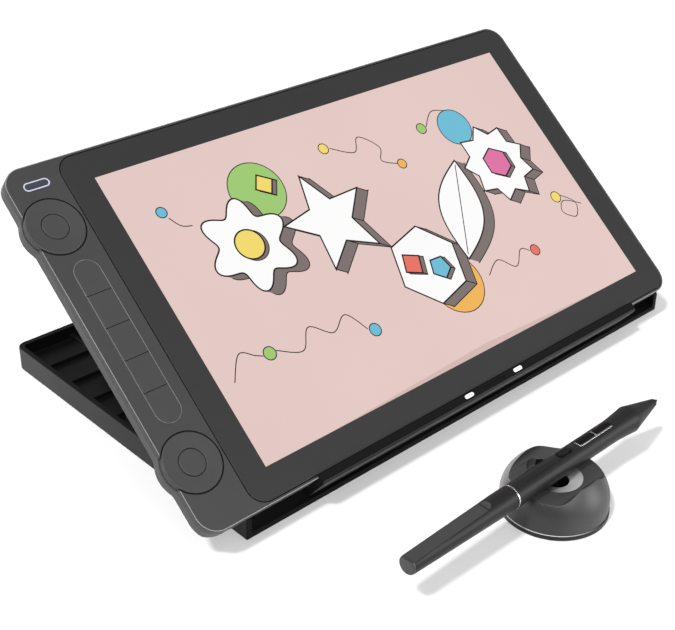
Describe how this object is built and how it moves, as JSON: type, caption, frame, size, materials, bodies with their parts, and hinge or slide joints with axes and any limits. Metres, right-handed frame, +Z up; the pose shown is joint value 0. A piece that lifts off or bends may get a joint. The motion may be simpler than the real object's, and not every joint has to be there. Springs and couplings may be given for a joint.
{
  "type": "graphics tablet with screen",
  "caption": "Pen display tablet with dials and a key strip, on a tilting desk stand, with a pen lying in a domed holder.",
  "frame": {"origin": "centre of the stand's underside, on the desk", "axes": "+X along the screen's long side to the user's right, +Y away from the user, +Z up"},
  "size_m": [0.3599, 0.3128, 0.1463],
  "materials": {
    "frame_plastic": "fine satin texture",
    "shell_plastic": "fine satin texture",
    "glass": "etched anti-glare glass with a black printed border",
    "key_plastic": "fine satin",
    "display": "lit picture",
    "diffuser": "white diffuser",
    "circuit_board": "solder mask",
    "switch_plastic": "plain",
    "light_guide": "translucent",
    "steel": "plain",
    "stand_plastic": "fine texture",
    "rubber": "matte",
    "inlay_white": "plain",
    "pen_plastic": "soft-touch",
    "pen_black": "satin",
    "bright_trim": "bright",
    "coil_copper": "wound",
    "holder_plastic": "fine satin"
  },
  "bodies": {
    "stand_base": {"base_tray": "stand_plastic", "anti_slip_ring": "rubber", "hinge_rod": "steel"},
    "plate": {"support_plate": "stand_plastic", "lip_strip": "rubber", "lip_inlays": "inlay_white", "plate_pads": "rubber"},
    "prop": {"prop_arms": "stand_plastic", "prop_rod": "steel", "prop_soles": "rubber"},
    "tablet": {"front_frame": "frame_plastic", "rear_shell": "shell_plastic", "cover_glass": "glass", "lcd_panel": "display", "backlight": "diffuser", "digitizer_board": "circuit_board", "shield_plate": "steel", "main_board": "circuit_board", "usb_sockets": "steel", "key_board": "circuit_board", "key_switches": "switch_plastic", "mode_light": "light_guide", "dial_encoders": "switch_plastic", "rear_feet": "rubber", "rear_screws": "steel"},
    "dial_upper": {"dial_upper": "key_plastic"},
    "dial_lower": {"dial_lower": "key_plastic"},
    "dial_button_upper": {"dial_button_upper": "key_plastic"},
    "dial_button_lower": {"dial_button_lower": "key_plastic"},
    "mode_key": {"mode_key": "key_plastic"},
    "power_key": {"power_key": "key_plastic"},
    "key_1": {"key_1": "key_plastic"},
    "key_2": {"key_2": "key_plastic"},
    "key_3": {"key_3": "key_plastic"},
    "key_4": {"key_4": "key_plastic"},
    "key_5": {"key_5": "key_plastic"},
    "holder": {"holder_dome": "holder_plastic", "holder_base": "holder_plastic", "holder_foot": "rubber", "spare_nibs": "pen_black"},
    "pen": {"pen_grip": "pen_plastic", "pen_ring": "bright_trim", "pen_barrel": "pen_plastic", "pen_tail_cap": "pen_black", "pen_core": "coil_copper", "pen_button_trim": "bright_trim"},
    "pen_nib": {"pen_nib": "pen_black"},
    "pen_button_front": {"pen_button_front": "pen_black"},
    "pen_button_back": {"pen_button_back": "pen_black"},
    "pen_button_top": {"pen_button_top": "pen_black"}
  },
  "joints": [
    {"name": "plate_tilt", "type": "hinge", "parent": "stand_base", "child": "plate", "pos_m": [0, -0.0958, 0.00905], "axis": [1, 0, 0], "range_deg": [-32.4, 0]},
    {"name": "prop_fold", "type": "hinge", "parent": "plate", "child": "prop", "pos_m": [0, -0.04753, 0.04482], "axis": [1, 0, 0], "range_deg": [0, 57.68]},
    {"name": "tablet_lift", "type": "slide", "parent": "plate", "child": "tablet", "axis": [0, 0.7727, 0.6347], "range_m": [0, 0.03]},
    {"name": "dial_upper_turn", "type": "hinge", "parent": "tablet", "child": "dial_upper", "pos_m": [-0.179, 0.01769, 0.12453], "axis": [0, -0.6347, 0.7727], "continuous": true},
    {"name": "dial_button_upper_press", "type": "slide", "parent": "tablet", "child": "dial_button_upper", "axis": [0, 0.6347, -0.7727], "range_m": [0, 0.0005], "stiffness_N_per_m": 900},
    {"name": "dial_lower_turn", "type": "hinge", "parent": "tablet", "child": "dial_lower", "pos_m": [-0.179, -0.08276, 0.04202], "axis": [0, -0.6347, 0.7727], "continuous": true},
    {"name": "dial_button_lower_press", "type": "slide", "parent": "tablet", "child": "dial_button_lower", "axis": [0, 0.6347, -0.7727], "range_m": [0, 0.0005], "stiffness_N_per_m": 900},
    {"name": "key_1_press", "type": "slide", "parent": "tablet", "child": "key_1", "axis": [0, 0.6347, -0.7727], "range_m": [0, 0.0006], "stiffness_N_per_m": 900},
    {"name": "key_2_press", "type": "slide", "parent": "tablet", "child": "key_2", "axis": [0, 0.6347, -0.7727], "range_m": [0, 0.0006], "stiffness_N_per_m": 900},
    {"name": "key_3_press", "type": "slide", "parent": "tablet", "child": "key_3", "axis": [0, 0.6347, -0.7727], "range_m": [0, 0.0006], "stiffness_N_per_m": 900},
    {"name": "key_4_press", "type": "slide", "parent": "tablet", "child": "key_4", "axis": [0, 0.6347, -0.7727], "range_m": [0, 0.0006], "stiffness_N_per_m": 900},
    {"name": "key_5_press", "type": "slide", "parent": "tablet", "child": "key_5", "axis": [0, 0.6347, -0.7727], "range_m": [0, 0.0006], "stiffness_N_per_m": 900},
    {"name": "mode_key_press", "type": "slide", "parent": "tablet", "child": "mode_key", "axis": [0, 0.6347, -0.7727], "range_m": [0, 0.0004], "stiffness_N_per_m": 900},
    {"name": "power_key_press", "type": "slide", "parent": "tablet", "child": "power_key", "axis": [0, -0.7727, -0.6347], "range_m": [0, 0.0005], "stiffness_N_per_m": 900},
    {"name": "holder_slide", "type": "slide", "parent": "stand_base", "child": "holder", "axis": [1, 0, 0], "range_m": [-0.05, 0.05]},
    {"name": "pen_lift", "type": "slide", "parent": "holder", "child": "pen", "axis": [0, 0, 1], "range_m": [0, 0.06]},
    {"name": "pen_nib_press", "type": "slide", "parent": "pen", "child": "pen_nib", "axis": [-0.9999, -0.0122, 0], "range_m": [0, 0.0005], "stiffness_N_per_m": 1500},
    {"name": "pen_button_front_press", "type": "slide", "parent": "pen", "child": "pen_button_front", "axis": [0, 0, -1], "range_m": [0, 0.0003], "stiffness_N_per_m": 900},
    {"name": "pen_button_back_press", "type": "slide", "parent": "pen", "child": "pen_button_back", "axis": [0, 0, -1], "range_m": [0, 0.0003], "stiffness_N_per_m": 900},
    {"name": "pen_button_top_press", "type": "slide", "parent": "pen", "child": "pen_button_top", "axis": [0, 0, -1], "range_m": [0, 0.0003], "stiffness_N_per_m": 900}
  ],
  "couplings": [
    {"joint": "prop_fold", "follows": "plate_tilt", "ratio": -1.7803}
  ]
}
